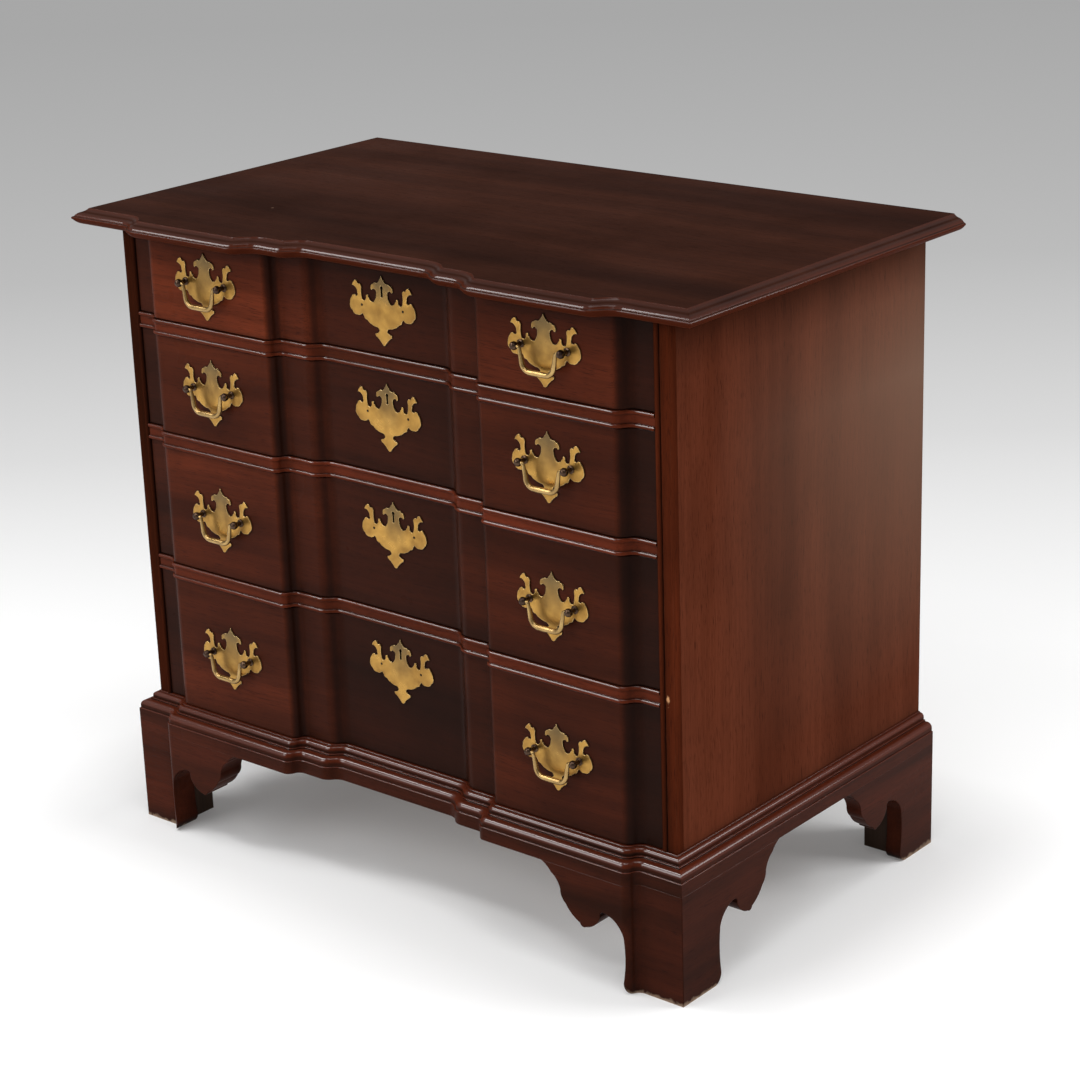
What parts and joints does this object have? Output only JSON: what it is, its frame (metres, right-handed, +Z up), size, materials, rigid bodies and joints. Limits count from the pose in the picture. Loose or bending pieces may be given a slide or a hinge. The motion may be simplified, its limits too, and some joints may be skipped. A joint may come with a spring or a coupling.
{
  "type": "block front chest",
  "caption": "Mahogany block front chest of graduated sliding drawers with a moulded top, bracket feet, willow-pattern brasses and swinging bail pulls.",
  "frame": {"origin": "on the floor under the middle of the whole chest's plan, overhanging top included", "axes": "+X to the right of a person facing the front, +Y to the back, +Z up"},
  "size_m": [0.9142, 0.5382, 0.7853],
  "materials": {
    "mahogany": "polished",
    "secondary_wood": "matte",
    "brass": "aged satin",
    "lock_iron": "matte"
  },
  "bodies": {
    "root": {"top_board": "mahogany", "side_left": "mahogany", "side_right": "mahogany", "stile_left": "mahogany", "stile_right": "mahogany", "blade_1": "mahogany", "blade_2": "mahogany", "blade_3": "mahogany", "base_mould_front": "mahogany", "base_mould_left": "mahogany", "base_mould_right": "mahogany", "foot_front_left": "mahogany", "foot_front_right": "mahogany", "foot_sides": "mahogany", "case_bottom": "secondary_wood", "drawer_runners": "secondary_wood", "top_rails": "secondary_wood", "back_boards": "secondary_wood", "foot_backs": "secondary_wood", "glue_blocks": "secondary_wood"},
    "drawer_1": {"drawer_front_1": "mahogany", "drawer_sides_1": "secondary_wood", "drawer_back_1": "secondary_wood", "drawer_bottom_1": "secondary_wood", "brass_plates_1": "brass", "pull_posts_1": "brass", "lock_case_1": "lock_iron"},
    "lock_bolt_1": {"lock_bolt_1": "lock_iron"},
    "bail_1_left": {"bail_1_left": "brass"},
    "bail_1_right": {"bail_1_right": "brass"},
    "drawer_2": {"drawer_front_2": "mahogany", "drawer_sides_2": "secondary_wood", "drawer_back_2": "secondary_wood", "drawer_bottom_2": "secondary_wood", "brass_plates_2": "brass", "pull_posts_2": "brass", "lock_case_2": "lock_iron"},
    "lock_bolt_2": {"lock_bolt_2": "lock_iron"},
    "bail_2_left": {"bail_2_left": "brass"},
    "bail_2_right": {"bail_2_right": "brass"},
    "drawer_3": {"drawer_front_3": "mahogany", "drawer_sides_3": "secondary_wood", "drawer_back_3": "secondary_wood", "drawer_bottom_3": "secondary_wood", "brass_plates_3": "brass", "pull_posts_3": "brass", "lock_case_3": "lock_iron"},
    "lock_bolt_3": {"lock_bolt_3": "lock_iron"},
    "bail_3_left": {"bail_3_left": "brass"},
    "bail_3_right": {"bail_3_right": "brass"},
    "drawer_4": {"drawer_front_4": "mahogany", "drawer_sides_4": "secondary_wood", "drawer_back_4": "secondary_wood", "drawer_bottom_4": "secondary_wood", "brass_plates_4": "brass", "pull_posts_4": "brass", "lock_case_4": "lock_iron"},
    "lock_bolt_4": {"lock_bolt_4": "lock_iron"},
    "bail_4_left": {"bail_4_left": "brass"},
    "bail_4_right": {"bail_4_right": "brass"}
  },
  "joints": [
    {"name": "drawer_1_slide", "type": "slide", "parent": "root", "child": "drawer_1", "axis": [0, -1, 0], "range_m": [0, 0.33]},
    {"name": "lock_bolt_1_slide", "type": "slide", "parent": "drawer_1", "child": "lock_bolt_1", "axis": [0, 0, 1], "range_m": [0, 0.008]},
    {"name": "bail_1_left_swing", "type": "hinge", "parent": "drawer_1", "child": "bail_1_left", "pos_m": [-0.2535, -0.24445, 0.7167], "axis": [-1, 0, 0], "range_deg": [-17, 160]},
    {"name": "bail_1_right_swing", "type": "hinge", "parent": "drawer_1", "child": "bail_1_right", "pos_m": [0.2535, -0.24445, 0.7167], "axis": [-1, 0, 0], "range_deg": [-17, 160]},
    {"name": "drawer_2_slide", "type": "slide", "parent": "root", "child": "drawer_2", "axis": [0, -1, 0], "range_m": [0, 0.33]},
    {"name": "lock_bolt_2_slide", "type": "slide", "parent": "drawer_2", "child": "lock_bolt_2", "axis": [0, 0, 1], "range_m": [0, 0.008]},
    {"name": "bail_2_left_swing", "type": "hinge", "parent": "drawer_2", "child": "bail_2_left", "pos_m": [-0.2535, -0.24445, 0.58885], "axis": [-1, 0, 0], "range_deg": [-17, 160]},
    {"name": "bail_2_right_swing", "type": "hinge", "parent": "drawer_2", "child": "bail_2_right", "pos_m": [0.2535, -0.24445, 0.58885], "axis": [-1, 0, 0], "range_deg": [-17, 160]},
    {"name": "drawer_3_slide", "type": "slide", "parent": "root", "child": "drawer_3", "axis": [0, -1, 0], "range_m": [0, 0.33]},
    {"name": "lock_bolt_3_slide", "type": "slide", "parent": "drawer_3", "child": "lock_bolt_3", "axis": [0, 0, 1], "range_m": [0, 0.008]},
    {"name": "bail_3_left_swing", "type": "hinge", "parent": "drawer_3", "child": "bail_3_left", "pos_m": [-0.2535, -0.24445, 0.4314], "axis": [-1, 0, 0], "range_deg": [-17, 160]},
    {"name": "bail_3_right_swing", "type": "hinge", "parent": "drawer_3", "child": "bail_3_right", "pos_m": [0.2535, -0.24445, 0.4314], "axis": [-1, 0, 0], "range_deg": [-17, 160]},
    {"name": "drawer_4_slide", "type": "slide", "parent": "root", "child": "drawer_4", "axis": [0, -1, 0], "range_m": [0, 0.33]},
    {"name": "lock_bolt_4_slide", "type": "slide", "parent": "drawer_4", "child": "lock_bolt_4", "axis": [0, 0, 1], "range_m": [0, 0.008]},
    {"name": "bail_4_left_swing", "type": "hinge", "parent": "drawer_4", "child": "bail_4_left", "pos_m": [-0.2535, -0.24445, 0.2545], "axis": [-1, 0, 0], "range_deg": [-17, 160]},
    {"name": "bail_4_right_swing", "type": "hinge", "parent": "drawer_4", "child": "bail_4_right", "pos_m": [0.2535, -0.24445, 0.2545], "axis": [-1, 0, 0], "range_deg": [-17, 160]}
  ]
}
